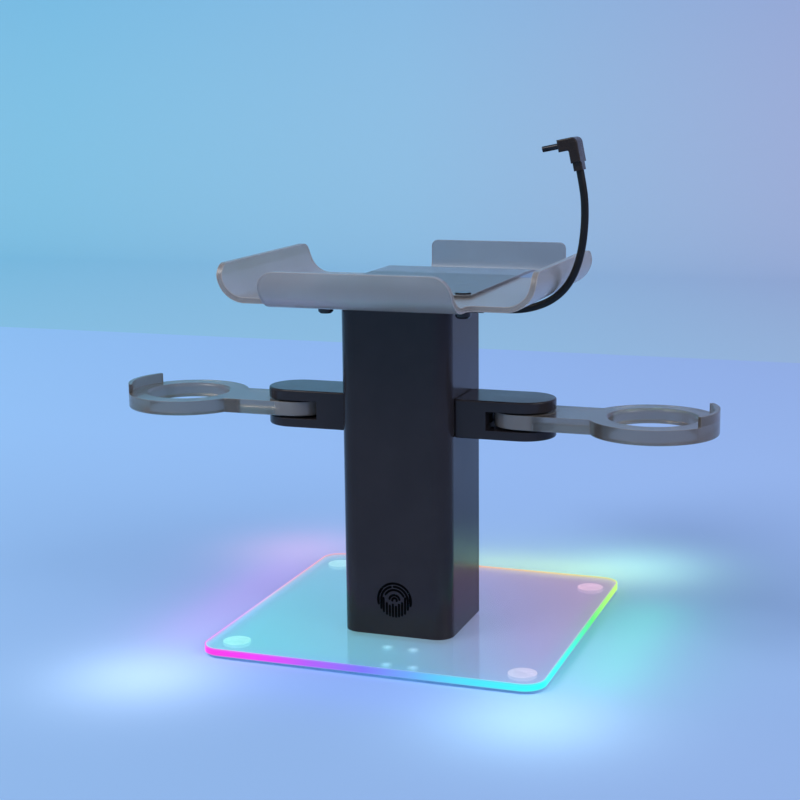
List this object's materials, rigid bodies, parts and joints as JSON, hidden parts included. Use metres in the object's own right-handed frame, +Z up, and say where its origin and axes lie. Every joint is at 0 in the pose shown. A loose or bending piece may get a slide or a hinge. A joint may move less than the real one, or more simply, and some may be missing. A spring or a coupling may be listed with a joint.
{
  "type": "virtual reality headset stand",
  "caption": "Desk stand with an edge-lit clear base, a black column, a smoked folded tray with a rear strap rest, swinging ring arms for hand controllers and a short charge lead.",
  "frame": {"origin": "bottom centre of the stand's box without its charge lead, on the table under the pads", "axes": "+Z up, +X to the stand's right as seen from the front, where the charge lead leaves; +Y to the rear, towards the strap rest"},
  "size_m": [0.266, 0.2046, 0.2163],
  "materials": {
    "clear_acrylic": "polished, lit from its edges",
    "smoked_frost": "smoked, light satin",
    "smoked_sheet": "smoked, polished",
    "smoked_clear": "smoked, polished",
    "black_plastic": "satin black",
    "black_gloss": "black gloss",
    "black_rubber": "matt black",
    "clear_rubber": "translucent soft pads",
    "black_steel": "black oxide",
    "bright_steel": "plated",
    "dark_metal": "dark plated",
    "board_laminate": "solder mask",
    "lamp_resin": "lamp package",
    "copper_pad": "touch electrode on laminate",
    "washer_nylon": "black nylon"
  },
  "bodies": {
    "stand": {"base_plate": "clear_acrylic", "bottom_lid": "black_plastic", "base_screws": "black_steel", "column_shell": "black_plastic", "rear_cover": "black_plastic", "cover_screws": "black_steel", "top_cap": "black_plastic", "lamp_board": "board_laminate", "lamps": "lamp_resin", "control_board": "board_laminate", "board_screws": "bright_steel", "touch_pad": "copper_pad", "power_inlet": "bright_steel", "tray": "smoked_frost", "tray_screws": "black_steel", "strap_rest": "smoked_sheet", "cord_gland": "black_rubber", "charge_lead": "black_rubber", "plug_body": "black_gloss", "plug_tongue": "dark_metal", "pad_front_left": "clear_rubber", "pad_front_right": "clear_rubber", "pad_rear_left": "clear_rubber", "pad_rear_right": "clear_rubber", "left_clevis": "black_plastic", "left_clevis_screws": "black_steel", "left_pivot_pin": "bright_steel", "left_lower_washer": "washer_nylon", "left_upper_washer": "washer_nylon", "left_tray_peg": "black_gloss", "left_peg_nut": "black_gloss", "right_clevis": "black_plastic", "right_clevis_screws": "black_steel", "right_pivot_pin": "bright_steel", "right_lower_washer": "washer_nylon", "right_upper_washer": "washer_nylon", "right_tray_peg": "black_gloss", "right_peg_nut": "black_gloss"},
    "left_arm": {"left_ring_arm": "smoked_clear"},
    "right_arm": {"right_ring_arm": "smoked_clear"}
  },
  "joints": [
    {"name": "left_arm_swing", "type": "hinge", "parent": "stand", "child": "left_arm", "pos_m": [-0.0515, -0.0343, 0.0995], "axis": [0, 0, 1], "range_deg": [-90, 90]},
    {"name": "right_arm_swing", "type": "hinge", "parent": "stand", "child": "right_arm", "pos_m": [0.0515, -0.0343, 0.0995], "axis": [0, 0, -1], "range_deg": [-90, 90]}
  ]
}
